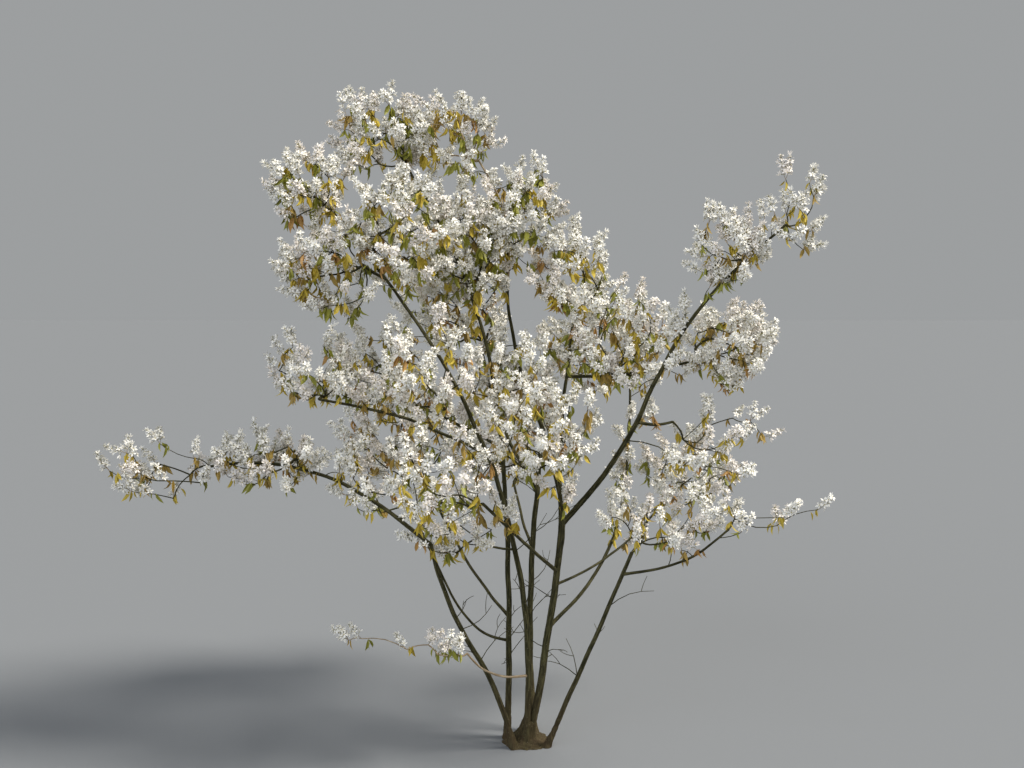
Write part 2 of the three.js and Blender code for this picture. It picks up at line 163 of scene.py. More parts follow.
def mark(mesh, name, values):
    """Stores a number, a whole number or a direction at every point of a mesh."""
    values = np.asarray(values)
    whole = values.dtype.kind == "i"
    kind, key = ("INT" if whole else "FLOAT"), "value"
    if values.ndim == 2:
        kind, key = "FLOAT_VECTOR", "vector"
    values = values.astype(np.int32 if whole else np.float32).ravel()
    mesh.attributes.new(name, kind, "POINT").data.foreach_set(key, values)


def line_mesh(lines):
    """One mesh of open lines, which knows the limb's radius and the distance along at every point."""
    ends = np.cumsum([len(line.points) for line in lines])
    edges = [(i, i + 1) for i in range(ends[-1] - 1) if i + 1 not in ends]
    mesh = bpy.data.meshes.new("lines")
    mesh.from_pydata(np.concatenate([line.points for line in lines]), edges, [])
    mark(mesh, "thickness", np.concatenate([line.radii for line in lines]))
    mark(mesh, "along", np.concatenate([line.along for line in lines]))
    return mesh


def add_node(tree, kind, wires=None, **settings):
    """Adds a node to a tree; wires gives its inputs, each a value or another node's output."""
    node = tree.nodes.new(kind)
    for name, value in settings.items():
        setattr(node, name, value)
    for name, value in (wires or {}).items():
        if isinstance(value, bpy.types.NodeSocket):
            tree.links.new(value, node.inputs[name])
        else:
            node.inputs[name].default_value = value
    return node


def put(tree, kind, wires=None, **settings):
    """Adds a node and gives its first output."""
    return add_node(tree, kind, wires, **settings).outputs[0]


def new_tree(name, kind, given, made):
    """A node group with named inputs and outputs, and the sockets that its nodes start from."""
    tree = bpy.data.node_groups.new(name, kind)
    for side, sockets in (("INPUT", given), ("OUTPUT", made)):
        for socket, sort in sockets.items():
            tree.interface.new_socket(socket, in_out=side, socket_type="NodeSocket" + sort)
    return tree, add_node(tree, "NodeGroupInput").outputs


def told(tree, name, kind="FLOAT"):
    """What the points of a mesh have stored under a name."""
    return put(tree, "GeometryNodeInputNamedAttribute", {"Name": name}, data_type=kind)


def stretched(tree, grain, across, down):
    """The place in the grain of the bark, measured in the width and length of a mark."""
    size = put(tree, "ShaderNodeCombineXYZ", {"X": across, "Y": across, "Z": down})
    return put(tree, "ShaderNodeVectorMath", {0: grain, 1: size}, operation="DIVIDE")


def close_tree(tree, name, shape, material):
    """Ends a tree with plain faces and their material."""
    real = put(tree, "GeometryNodeRealizeInstances", {"Geometry": shape})
    skin = put(tree, "GeometryNodeSetMaterial", {"Geometry": real, "Material": material})
    add_node(tree, "NodeGroupOutput", {name: skin})
    return tree


def limb_tree():
    """Geometry Nodes: bends a ring along every line, and raises lumps and sinks cracks in the skin."""
    given = {
        "Lines": "Geometry", "Sides": "Int", "Relief": "Float", "Crack Width": "Float",
        "Crack Length": "Float", "Lump Length": "Float", "Material": "Material",
    }
    tree, inputs = new_tree("grow limb", "GeometryNodeTree", given, {"Limb": "Geometry"})

    def store(shape, name, value):
        wires = {"Geometry": shape, "Name": name, "Value": value}
        return put(tree, "GeometryNodeStoreNamedAttribute", wires, data_type="FLOAT_VECTOR")

    def math(operation, *values):
        return put(tree, "ShaderNodeMath", dict(enumerate(values)), operation=operation)

    def vector(operation, first, second, socket=1):
        return put(tree, "ShaderNodeVectorMath", {0: first, socket: second}, operation=operation)

    def marks(width, length, detail):
        wires = {"Vector": stretched(tree, grain, width, length), "Scale": 1, "Detail": detail}
        return put(tree, "ShaderNodeTexNoise", wires)

    radius = told(tree, "thickness")
    line = put(tree, "GeometryNodeMeshToCurve", {"Mesh": inputs["Lines"]})
    ring = put(tree, "GeometryNodeCurvePrimitiveCircle", {"Resolution": inputs["Sides"], "Radius": 1})
    place = put(tree, "GeometryNodeInputPosition")
    wires = {"Curve": line, "Profile Curve": store(ring, "round", place), "Scale": radius, "Fill Caps": True}
    skin = put(tree, "GeometryNodeCurveToMesh", wires)

    # The grain runs along the limb: two measures round it, one along it.
    up = put(tree, "ShaderNodeCombineXYZ", {"Z": told(tree, "along")})
    grain = vector("ADD", vector("SCALE", told(tree, "round", "FLOAT_VECTOR"), radius, "Scale"), up)
    skin = store(skin, "grain", grain)

    lump = marks(inputs["Lump Length"], inputs["Lump Length"], 1)
    crack = marks(inputs["Crack Width"], inputs["Crack Length"], 2)
    aside = math("MULTIPLY", math("ABSOLUTE", math("SUBTRACT", crack, NOISE_MEAN)), CRACK_STEEPNESS)
    furrow = math("MAXIMUM", math("SUBTRACT", CRACK_DEPTH, aside), 0)
    rise = math("SUBTRACT", math("MULTIPLY", math("SUBTRACT", lump, NOISE_MEAN), LUMP_RISE), furrow)
    height = math("MULTIPLY", math("MULTIPLY", rise, inputs["Relief"]), radius)
    offset = vector("SCALE", put(tree, "GeometryNodeInputNormal"), height, "Scale")
    skin = put(tree, "GeometryNodeSetPosition", {"Geometry": skin, "Offset": offset})
    skin = put(tree, "GeometryNodeSetShadeSmooth", {"Geometry": skin})
    return close_tree(tree, "Limb", skin, inputs["Material"])


def grow(name, tree, mesh, **values):
    """Runs a tree on a mesh and keeps the result as a plain piece at the origin."""
    source = bpy.data.objects.new("source", mesh)
    bpy.context.collection.objects.link(source)
    modifier = source.modifiers.new("grow", "NODES")
    modifier.node_group = tree
    for socket in tree.interface.items_tree:
        value = values.get(socket.name.lower().replace(" ", "_"))
        if socket.in_out == "INPUT" and value is not None:
            modifier[socket.identifier] = value
    grown = source.evaluated_get(bpy.context.evaluated_depsgraph_get())
    piece = bpy.data.objects.new(name, bpy.data.meshes.new_from_object(grown))
    bpy.data.objects.remove(source)
    bpy.context.collection.objects.link(piece)
    return piece


def bark_weather():
    """Shader group: the streaks, pores and fine relief of bark, along a limb's own grain."""
    given = {"Grain": "Vector", "Streak Width": "Float", "Streak Length": "Float", "Pore Size": "Float"}
    made = {"Streaks": "Float", "Pores": "Float", "Height": "Float"}
    tree, inputs = new_tree("bark weather", "ShaderNodeTree", given, made)

    def ranged(value, low, high):
        wires = {"Value": value, "From Min": low, "From Max": high}
        return put(tree, "ShaderNodeMapRange", wires, interpolation_type="SMOOTHSTEP")

    grain, pore_size = inputs["Grain"], inputs["Pore Size"]
    streak = put(tree, "ShaderNodeTexNoise", {
        "Vector": stretched(tree, grain, inputs["Streak Width"], inputs["Streak Length"]),
        "Scale": 1, "Detail": 5, "Roughness": 0.62,
    })
    pore = put(tree, "ShaderNodeTexVoronoi", {
        "Vector": stretched(tree, grain, pore_size, pore_size), "Scale": PORE_SCALE, "Randomness": 1,
    })
    streaks, pores = ranged(streak, *STREAK_EDGES), ranged(pore, *PORE_EDGES)
    height = put(tree, "ShaderNodeMath", {0: streaks, 1: pores}, operation="ADD")
    add_node(tree, "NodeGroupOutput", {"Streaks": streaks, "Pores": pores, "Height": height})
    return tree


def new_material(name, values):
    """A new material with its surface set, its tree, its surface and the place on the object."""
    material = bpy.data.materials.new(name)
    material.use_nodes = True
    tree = material.node_tree
    surface = tree.nodes["Principled BSDF"]
    for socket, value in values.items():
        surface.inputs[socket].default_value = value
    return material, tree, surface, add_node(tree, "ShaderNodeTexCoord").outputs["Object"]


def bark_material(
    name, dark, light, pore, foot, streak_width, streak_length, pore_size, roughness, bump,
):
    """Bark: dark between pale streaks, with pale pores, and browner towards the ground."""
    values = {"Specular IOR Level": 0.2, "Roughness": roughness}
    material, tree, surface, coordinates = new_material(name, values)
    grain = add_node(tree, "ShaderNodeAttribute", attribute_name="grain").outputs["Vector"]
    weather = add_node(tree, "ShaderNodeGroup", {
        "Grain": grain, "Streak Width": streak_width, "Streak Length": streak_length,
        "Pore Size": pore_size,
    }, node_tree=weather_group)
    dark, light, pore, foot = ((*colour, 1) for colour in (dark, light, pore, foot))

    def mixed(share, first, second):
        wires = {"Factor": share, 6: first, 7: second}  # sockets 6 and 7 take the colours
        return add_node(tree, "ShaderNodeMix", wires, data_type="RGBA").outputs[2]

    height = add_node(tree, "ShaderNodeSeparateXYZ", {0: coordinates}).outputs["Z"]
    wires = {"Value": height, "From Min": STAIN_HEIGHTS[0], "From Max": STAIN_HEIGHTS[1]}
    low_down = put(tree, "ShaderNodeMapRange", wires)
    patch = put(tree, "ShaderNodeTexNoise", {"Vector": coordinates, "Scale": STAIN_PATCHES, "Detail": 3})
    stained = put(tree, "ShaderNodeMath", {0: low_down, 1: patch}, operation="MULTIPLY")
    colour = mixed(weather.outputs["Streaks"], dark, light)
    colour = mixed(stained, colour, foot)
    colour = mixed(weather.outputs["Pores"], colour, pore)
    tree.links.new(colour, surface.inputs["Base Color"])
    wires = {"Height": weather.outputs["Height"], "Strength": bump, "Distance": BUMP_HEIGHT}
    tree.links.new(put(tree, "ShaderNodeBump", wires), surface.inputs["Normal"])
    return material


weather_group = bark_weather()
limb_nodes = limb_tree()
bark = bark_material(
    "bark", dark=(0.020, 0.020, 0.007), light=(0.092, 0.084, 0.036), pore=(0.17, 0.15, 0.09),
    foot=(0.070, 0.044, 0.024), streak_width=0.005, streak_length=0.045, pore_size=0.0035,
    roughness=0.82, bump=0.7,
)


def cut_limb(limb, beyond, sink):
    """The part of a limb beyond a cut, beside which it sinks under its neighbour's bark."""
    keep = beyond > 0
    sunk = sink * np.clip(1 - beyond / SINK_HEIGHT, 0, 1)
    return Limb(limb.points[keep], (limb.radii - sunk)[keep], limb.along[keep])


for name, (foot, tip, bow, radii) in STEMS.items():
    flare = FLARE_SHARE * radii[0]
    sway = SWAY.get(name, (0, 0, 0))
    limbs[name] = limb_line((*foot, -BELOW), tip, bow, sway, radii, flare, FLARE_FALL, BELOW)
    trunk = cut_limb(limbs[name], limbs[name].points[:, 2] - STEM_FOOT, STEM_SINK)
    piece = grow("bark_" + name, limb_nodes, line_mesh([trunk]), material=bark, **STEM_SKIN)
    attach(piece, "root")
    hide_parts(name)


# Root collar. The flared feet of the stems have grown together over a low skirt of wood; rough brown bark
# folds down between them to the flat cut at the ground.
SKIRT_RADIUS = 0.090
SKIRT_HEIGHT = 0.110
SKIRT_FALL = 0.042  # height in which the skirt's radius falls to a third
SKIRT_CENTRE = (-0.014, 0.012)
SKIRT_RINGS = 30
STUB_TOP = 0.112  # height at which the last of the collar has sunk under a stem's bark
STUB_SINK = 0.0055  # how far it is under it there
COLLAR_SIDES = 32
COLLAR_VOXEL = 0.0032
COLLAR_SMOOTHING = 5  # times that the feet are smoothed into one
SMOOTH_SKIN = dict(relief=0.0, crack_width=1.0, crack_length=1.0, lump_length=1.0)
FOLD_DEPTH = 0.0034  # depth of the folds in the collar's bark
FOLD_WIDTH = 0.014
FOLD_HEIGHT = 0.050
FOLD_FINENESS = (1.0, 2.0, 3)  # how finer folds weaken, how much finer each is, and how many there are
RIDGE_DEPTH = 0.011  # depth at the ground of the hollows between the root ridges
RIDGES = 3.4  # how many there are round the foot, in turns of the noise
RIDGE_FALL = 0.045  # height in which they die away to a third

rise = np.append(-BELOW, np.linspace(0, SKIRT_HEIGHT, SKIRT_RINGS))
skirt = SKIRT_RADIUS * np.exp(-np.maximum(rise, 0) / SKIRT_FALL)
burl = Limb(np.array([(*SKIRT_CENTRE, height) for height in rise]), skirt, rise)
feet = [cut_limb(limbs[name], STUB_TOP - limbs[name].points[:, 2], STUB_SINK) for name in STEMS]
collar = grow(
    "bark_root_collar", limb_nodes, line_mesh([burl, *feet]), material=bark, sides=COLLAR_SIDES,
    **SMOOTH_SKIN,
)
collar.modifiers.new("join", "REMESH").voxel_size = COLLAR_VOXEL
collar.modifiers.new("grow together", "SMOOTH").iterations = COLLAR_SMOOTHING
joined = collar.evaluated_get(bpy.context.evaluated_depsgraph_get())
rough = collar.data
collar.data = bpy.data.meshes.new_from_object(joined)
collar.modifiers.clear()
bpy.data.meshes.remove(rough)

shell = bmesh.new()
shell.from_mesh(collar.data)
for vertex in shell.verts:
    x, y, z = vertex.co
    fold = noise.fractal(Vector((x / FOLD_WIDTH, y / FOLD_WIDTH, z / FOLD_HEIGHT)), *FOLD_FINENESS)
    toward = Vector((x, y, 0)).normalized()
    ridge = noise.noise(Vector((toward.x * RIDGES, toward.y * RIDGES, z / SKIRT_HEIGHT)))
    depth = FOLD_DEPTH * min(1, max(0, (STUB_TOP - z) / SINK_HEIGHT))
    vertex.co += depth * fold * vertex.normal + RIDGE_DEPTH * ridge * exp(-z / RIDGE_FALL) * toward
whole = [*shell.verts, *shell.edges, *shell.faces]
cut = bmesh.ops.bisect_plane(shell, geom=whole, plane_no=(0, 0, -1), clear_outer=True)
rim = [part for part in cut["geom_cut"] if isinstance(part, bmesh.types.BMEdge)]
bmesh.ops.holes_fill(shell, edges=rim)
shell.to_mesh(collar.data)
shell.free()
mark(collar.data, "grain", [vertex.co[:] for vertex in collar.data.vertices])
collar.data.shade_smooth()
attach(collar, "root")
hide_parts("root_collar")


# Leaders, boughs and shoots. Each grows out of a stem or of another bough, a little swollen where it
# leaves, and tapers to the twigs that it bears. The two young shoots still have pale, shiny bark.

# The limb that each leaves, at which share of that limb's length, its tip, its bow, and its radius at
# both ends.
BOUGHS = {
    "bough_right_high": ("stem_main", 1, (0.83, -0.315, 1.885), (-0.045, 0, 0), (0.011, 0.004)),
    "leader_right": ("stem_main", 0.94, (0.165, 0.1, 1.59), (-0.02, 0.01, 0), (0.009, 0.005)),
    "bough_front_right": (
        "stem_main", 0.86, (0.07, -0.26, 1.075), (0.025, -0.035, -0.02), (0.007, 0.005),
    ),
    "bough_front_left": ("stem_main", 0.8, (-0.16, -0.45, 0.985), (0.01, -0.015, -0.01), (0.007, 0.005)),
    "bough_low_back": ("stem_main", 0.74, (0.56, 0.43, 0.82), (-0.01, 0.01, -0.055), (0.005, 0.004)),
    "bough_back_right": ("stem_main", 0.56, (0.43, 0.57, 1.29), (0.09, 0, -0.13), (0.007, 0.005)),
    "bough_right_arm": (
        "bough_right_high", 0.36, (0.5, -0.12, 1.215), (0, 0.01, -0.012), (0.006, 0.0045),
    ),
    "bough_right_cross": ("leader_right", 0.72, (0.6, 0, 1.425), (0, 0.005, -0.018), (0.006, 0.0045)),
    "bough_low_right": ("stem_right", 0.9, (0.665, -0.3, 0.87), (0.02, -0.01, -0.03), (0.005, 0.0037)),
    "bough_left_long": ("stem_left", 1, (-1.14, -0.165, 1.06), (0, 0, 0.115), (0.0075, 0.0045)),
    "bough_left_mid": (
        "stem_inner_left", 0.93, (-0.735, -0.185, 1.3), (0, -0.01, 0.042), (0.0065, 0.0045),
    ),
    "bough_left_inner": (
        "stem_inner_left", 0.98, (-0.465, 0.11, 1.265), (0, 0.02, 0.01), (0.006, 0.0045),
    ),
    "bough_left_low": ("stem_inner_left", 0.36, (-0.39, -0.09, 0.815), (0, 0.025, -0.12), (0.005, 0.004)),
    "bough_back_left": (
        "stem_inner_left", 0.44, (-0.42, 0.51, 0.905), (-0.015, 0.02, -0.045), (0.006, 0.005),
    ),
    "bough_back_centre": ("stem_back", 0.62, (-0.06, 0.45, 0.9), (0, 0.03, -0.03), (0.006, 0.005)),
    "leader_back": ("stem_back", 0.8, (-0.19, 0.43, 1.45), (-0.02, 0.05, -0.04), (0.008, 0.005)),
    "leader_up_right": ("stem_back", 1, (-0.085, 0.19, 1.84), (-0.045, 0.015, 0), (0.009, 0.0045)),
    "leader_left": ("stem_centre", 1, (-0.7, -0.09, 1.96), (0.07, -0.035, -0.02), (0.008, 0.004)),
    "leader_top": ("stem_inner_left", 1, (-0.48, 0.1, 2.18), (0.08, 0.02, 0), (0.0075, 0.004)),
    "shoot_top": ("leader_up_right", 0.8, (-0.19, 0.12, 2.16), (0.045, -0.01, 0.02), (0.0045, 0.0035)),
    "shoot_low": ("stem_centre", 0.28, (-0.225, -0.18, 0.4), (-0.02, -0.015, -0.032), (0.0045, 0.0035)),
}
BRANCH_SWELL = 0.3  # swelling where a bough leaves its parent, as a share of its radius
SWELL_FALL = 0.030  # distance in which it falls to a third
BOUGH_SKIN = dict(sides=14, relief=0.075, crack_width=0.0045, crack_length=0.03, lump_length=0.018)

young_bark = bark_material(
    "young_bark", dark=(0.22, 0.155, 0.090), light=(0.52, 0.42, 0.285), pore=(0.56, 0.50, 0.38),
    foot=(0.22, 0.155, 0.090), streak_width=0.003, streak_length=0.030, pore_size=0.002,
    roughness=0.5, bump=0.4,
)

for name, (parent, share, tip, bow, radii) in BOUGHS.items():
    swell = BRANCH_SWELL * radii[0] if share < 1 else 0
    sway = SWAY.get(name, (0, 0, 0))
    limbs[name] = limb_line(point_at(limbs[parent], share), tip, bow, sway, radii, swell, SWELL_FALL)
    young = name.startswith("shoot")
    skin = young_bark if young else bark
    piece = grow("bark_" + name, limb_nodes, line_mesh([limbs[name]]), material=skin, **BOUGH_SKIN)
    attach(piece, "root")
    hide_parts(name)


# Twigs. In each mass of blossom a tree of dark twigs branches from one stem on its bough: places are
# spread through the mass, and each joins the twigs by the shortest way back. They thin towards their tips.

# For each mass, by the side of the crown: the limb that bears it, at which share of its length, the
# centre of the space that it fills, and how far that reaches from its centre.
MASSES = {
    "top": {
        "peak_left": ("leader_top", 1, (-0.56, 0.1, 2.285), (0.165, 0.15, 0.165)),
        "peak_right": ("shoot_top", 1, (-0.29, 0.12, 2.285), (0.16, 0.15, 0.155)),
        "upper_left_tip": ("leader_left", 1, (-0.79, -0.08, 2.065), (0.14, 0.13, 0.135)),
        "upper_left": ("leader_left", 0.72, (-0.705, -0.13, 1.775), (0.17, 0.17, 0.185)),
        "upper_mid": ("leader_left", 0.8, (-0.455, -0.21, 1.91), (0.175, 0.17, 0.21)),
        "upper_centre": ("leader_top", 0.56, (-0.25, 0.09, 1.88), (0.165, 0.17, 0.215)),
        "upper_right": ("leader_up_right", 1, (-0.02, 0.13, 2.015), (0.135, 0.145, 0.19)),
        "right_shoulder": ("leader_right", 1, (0.16, 0.12, 1.775), (0.15, 0.16, 0.18)),
    },
    "left": {
        "left_tip": ("bough_left_mid", 1, (-0.78, -0.2, 1.425), (0.13, 0.13, 0.13)),
        "left_inner": ("bough_left_inner", 1, (-0.6, 0.1, 1.4), (0.17, 0.17, 0.165)),
        "centre_left": ("leader_left", 0.3, (-0.37, -0.29, 1.43), (0.165, 0.16, 0.195)),
        "low_left": ("bough_left_long", 0.16, (-0.54, -0.21, 1.03), (0.15, 0.15, 0.14)),
        "long_mid": ("bough_left_long", 0.66, (-0.92, -0.18, 1.11), (0.195, 0.125, 0.125)),
        "long_outer": ("bough_left_long", 1, (-1.322, -0.15, 1.075), (0.187, 0.115, 0.125)),
        "low_sprig": ("shoot_low", 1, (-0.44, -0.255, 0.495), (0.24, 0.085, 0.085)),
    },
    "middle": {
        "centre": ("leader_top", 0.14, (-0.05, -0.02, 1.375), (0.165, 0.17, 0.18)),
        "right_centre": ("bough_right_cross", 0.35, (0.345, 0.02, 1.54), (0.19, 0.18, 0.175)),
        "front_centre": ("bough_front_right", 1, (0.04, -0.35, 1.225), (0.18, 0.16, 0.165)),
        "front_left": ("bough_front_left", 1, (-0.285, -0.5, 1.1), (0.175, 0.16, 0.16)),
        "low_centre": ("stem_centre", 0.72, (-0.285, -0.21, 0.88), (0.15, 0.14, 0.13)),
    },
    "right": {
        "right_upper": ("bough_right_high", 0.86, (0.665, -0.275, 1.835), (0.115, 0.12, 0.145)),
        "right_tip": ("bough_right_high", 1, (0.875, -0.32, 1.96), (0.085, 0.09, 0.145)),
        "right_mid": ("bough_right_cross", 1, (0.728, -0.02, 1.5), (0.143, 0.16, 0.16)),
        "right_arm": ("bough_right_arm", 1, (0.68, -0.09, 1.2), (0.18, 0.15, 0.115)),
        "right_front": ("bough_right_high", 0.3, (0.56, -0.4, 1.13), (0.165, 0.14, 0.09)),
        "low_right": ("stem_right", 1, (0.44, -0.24, 0.915), (0.23, 0.16, 0.115)),
        "far_right": ("bough_low_right", 1, (0.815, -0.31, 0.95), (0.19, 0.12, 0.09)),
    },
    "back": {
        "back_upper": ("leader_back", 1, (-0.31, 0.45, 1.68), (0.235, 0.215, 0.24)),
        "back_left": ("bough_back_left", 1, (-0.56, 0.52, 1.14), (0.24, 0.22, 0.23)),
        "back_centre": ("bough_back_centre", 1, (-0.11, 0.6, 1.1), (0.23, 0.2, 0.22)),
        "back_right": ("bough_back_right", 1, (0.3, 0.56, 1.5), (0.235, 0.21, 0.225)),
        "low_back": ("bough_low_back", 1, (0.68, 0.43, 0.97), (0.215, 0.17, 0.14)),
    },
}
USUAL_REACH = 0.160  # mean reach of a mass
SPRAYS = 34  # sprays in a mass of that reach
SPRAY_GROWTH = 1.9  # power by which their number grows with the reach
SPACING = 0.27  # least distance between two sprays, as a share of the mass's mean reach
TRIES = 900  # places tried in each mass
MARGIN = 0.026  # how far the middle of a raceme keeps inside the mass
BRIDGE = 1.3  # how far, in reaches, the side towards the crown's heart may fill a gap to a neighbour
CROWN_HEART = Vector((-0.150, 0, 1.500))
FRINGE = 0.012  # how far the foot of a raceme keeps inside the box of the solids
RACEME_RISE = 0.040  # height of a raceme's middle above its foot
LEAST_ROOM = 0.3  # share of a short reach that the places still use
HOLLOW = 0.10  # share of the mass's volume, at its middle, that has no places
PATH_WEIGHT = 0.4  # how much a short way back to the stem counts when a twig picks its parent
END_TWIG = 0.00125  # radius of an end twig
TWIG_GROWTH = 0.40  # power by which a twig thickens with the number of sprays beyond it
TWIG_BOW = 0.11  # bow of a twig, as a share of its length
TWIG_POINTS = 5
TWIG_TAPER = 1.25  # how much thicker a twig may be at its foot than at its end
MASS_STEM_TAPER = 1.2  # the same for the one stem that bears the whole mass
TWIG_SKIN = dict(sides=5, relief=0.08, crack_width=0.004, crack_length=0.012, lump_length=0.008)
UP = Vector((0, 0, 1))
# Share of the usual sprays in the masses that are more open or fuller than the rest.
FULLNESS = {
    "low_sprig": 0.38, "far_right": 0.25, "long_outer": 0.65, "long_mid": 0.9, "right_arm": 0.42,
    "right_front": 0.12, "low_right": 0.65, "right_tip": 0.75, "low_centre": 0.7, "low_left": 0.55,
    "front_left": 0.7, "upper_centre": 1.5, "upper_mid": 1.15, "upper_right": 1.1, "right_mid": 1.7,
}
GATHERED = {"low_sprig": 3.0}  # masses whose sprays gather towards the stem, and how strongly
APART = {"long_mid", "right_arm", "right_front", "low_right"}  # masses that leave the gaps beside them open
# Limbs that show in front of the blossom, and from where to where along them.
SHOWN = {"leader_left": (0.10, 0.80), "bough_left_mid": (0.40, 0.95)}
CLEAR = 0.024  # how far the sprays before such a limb keep to the side of it
spaces = {
    name: (Vector(centre), Vector(reach))
    for masses in MASSES.values() for name, (_, _, centre, reach) in masses.items()
}


def halton(index, base):
    """The index-th number of a sequence that fills 0 to 1 evenly."""
    result, share = 0, 1 / base
    while index:
        result += share * (index % base)
        index, share = index // base, share / base
    return result


def nearness(place, space):
    """How far a place is from the middle of a mass, in the mass's reaches."""
    centre, reach = space
    return hypot(*((p - c) / r for p, c, r in zip(place, centre, reach)))


shown = []
for name, (first, last) in SHOWN.items():
    rings = len(limbs[name].points)
    shown.append(limbs[name].points[int(first * rings):int(last * rings)])
shown = np.concatenate(shown)


def hides_limb(place):
    """Whether a spray there would stand before a limb that shows, seen from the front."""
    depth = place - Vector(EYE)
    seen = (shown - EYE) / (shown[:, 1:2] - EYE[1])
    aside = (seen - np.array(depth) / depth.y) * depth.y
    before = place.y < shown[:, 1]
    return np.any(before & (np.linalg.norm(aside, axis=1) < CLEAR))


def spray_places(name, order, root):
    """The feet of the racemes, spread through a mass and the gaps on its inner side, nearest first."""
    centre, reach = spaces[name]
    inner = Vector([max(r - MARGIN, LEAST_ROOM * r) for r in reach])
    rootward = (root - centre).normalized()
    inward = CROWN_HEART - centre
    mean = (reach.x * reach.y * reach.z) ** (1 / 3)
    wanted = round(SPRAYS * FULLNESS.get(name, 1) * (mean / USUAL_REACH) ** SPRAY_GROWTH)
    places = []
    for i in range(TRIES):
        index = i + TRIES * order
        level = 1 - 2 * halton(index, 2)
        turn = 2 * pi * halton(index, 3)
        out = (HOLLOW + (1 - HOLLOW) * halton(index, 5)) ** (1 / 3)
        flat = sqrt(1 - level * level)
        toward = Vector((flat * cos(turn), flat * sin(turn), level)) * out
        if i == 0:
            toward = (centre - root).normalized()
        elif name in GATHERED:
            far = (1 - toward.dot(rootward)) / 2
            toward += rootward * 2 * (far - far ** GATHERED[name])
        elif toward.dot(inward) > 0 and name not in APART:
            toward *= BRIDGE
        place = centre + toward * inner
        own = nearness(place, spaces[name])
        next_best = min(nearness(place, space) for other, space in spaces.items() if other != name)
        inside = own <= 1 or next_best <= BRIDGE
        boxed = all(low + FRINGE < p < high - FRINGE for low, p, high in zip(cad_low, place, cad_high))
        spaced = all((place - other).length > SPACING * mean for other in places)
        if inside and boxed and own < next_best and spaced and not hides_limb(place):
            places.append(place)
        if len(places) == wanted:
            break
    feet = [place - RACEME_RISE * UP for place in places]
    return sorted(feet, key=lambda foot: (foot - root).length)


def join_twigs(root, places):
    """The tree of twigs: each place joins the one with the shortest way back to the stem's foot."""
    nodes = [{"place": root, "parent": None, "path": 0, "beyond": 0}]
    for place in places:
        free = nodes[1:] or nodes
        parent = min(free, key=lambda node: (node["place"] - place).length + PATH_WEIGHT * node["path"])
        path = parent["path"] + (parent["place"] - place).length
        nodes.append({"place": place, "parent": parent, "path": path, "beyond": 0})
    for node in nodes[1:]:
        below = node
        while below:
            below["beyond"] += 1
            below = below["parent"]
    return nodes[1:]


def any_way(rng, most=1):
    """A random offset, at most so far along each axis."""
    return Vector([rng.uniform(-most, most) for _ in range(3)])


def twig_line(start, end, low, high, rng, bow=TWIG_BOW, count=TWIG_POINTS):
    """A thin limb that bows to one side, from one place to another."""
    run = end - start
    side = run.cross(any_way(rng)).normalized() * bow * run.length
    steps = [i / (count - 1) for i in range(count)]
    points = [start + run * t + side * sin(pi * t) for t in steps]
    radii = [low + (high - low) * t for t in steps]
    return Limb(np.array(points), np.array(radii), np.array(steps) * run.length)


def twig_radius(node):
    """A twig is the thicker, the more sprays it bears."""
    return END_TWIG * node["beyond"] ** TWIG_GROWTH


# Limbs that also bear short spurs along them, by side of the crown, from which share of their length.
SPURRED = {
    "top": {
        "leader_left": 0.62, "leader_top": 0.20, "leader_up_right": 0.72, "leader_right": 0.70,
        "shoot_top": 0.5,
    },
    "left": {"bough_left_long": 0.42, "bough_left_mid": 0.45, "bough_left_inner": 0.3},
    "middle": {"bough_right_cross": 0.15, "bough_front_left": 0.6, "bough_front_right": 0.5},
    "right": {"bough_right_high": 0.46, "bough_right_arm": 0.35, "bough_low_right": 0.35},
    "back": {"leader_back": 0.45, "bough_back_right": 0.35, "bough_back_left": 0.6, "bough_low_back": 0.6},
}
SPUR_STEP = 0.050
SPUR_LENGTHS = (0.025, 0.085)
SPUR_RISE = 0.7  # how much they turn upwards
SPUR_FOOT = 0.0018  # radius at the limb


def spur_nodes(name, first, rng):
    """Short side twigs along a limb, each of which bears one spray."""
    limb = limbs[name]
    nodes = []
    for k in range(int((1 - first) * limb.along[-1] / SPUR_STEP)):
        foot = point_at(limb, first + (k + rng.random()) * SPUR_STEP / limb.along[-1])
        out = any_way(rng).normalized() + SPUR_RISE * UP
        place = foot + out.normalized() * rng.uniform(*SPUR_LENGTHS)
        if not hides_limb(place + RACEME_RISE * UP):
            nodes.append({"place": place, "parent": {"place": foot}, "centre": foot})
    return nodes


order = 0
grown = {}  # for each side of the crown, the nodes of its twigs
for side, masses in MASSES.items():
    lines, grown[side] = {"": [], "young_": []}, []
    rng = Random("spurs " + side)
    for name, first in SPURRED[side].items():
        spurs = spur_nodes(name, first, rng)
        grown[side] += spurs
        lines[""] += [twig_line(spur["centre"], spur["place"], SPUR_FOOT, END_TWIG, rng) for spur in spurs]
    for name, (bearer, share, centre, _) in masses.items():
        root = point_at(limbs[bearer], share)
        nodes = join_twigs(root, spray_places(name, order, root))
        rng = Random(order)
        for node in nodes:
            node["centre"] = Vector(centre)
            parent, end = node["parent"], twig_radius(node)
            low = MASS_STEM_TAPER * end
            if parent["parent"]:
                low = min(twig_radius(parent), TWIG_TAPER * end)
            line = twig_line(parent["place"], node["place"], low, end, rng)
            lines["young_" if bearer.startswith("shoot") else ""].append(line)
        grown[side] += nodes
        order += 1
    for age, material in (("", bark), ("young_", young_bark)):
        if not lines[age]:
            continue
        twigs = line_mesh(lines[age])
        piece = grow("twigs_" + age + side, limb_nodes, twigs, material=material, **TWIG_SKIN)
        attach(piece, "root")
        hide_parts(*("blossom_" + name for name in masses))


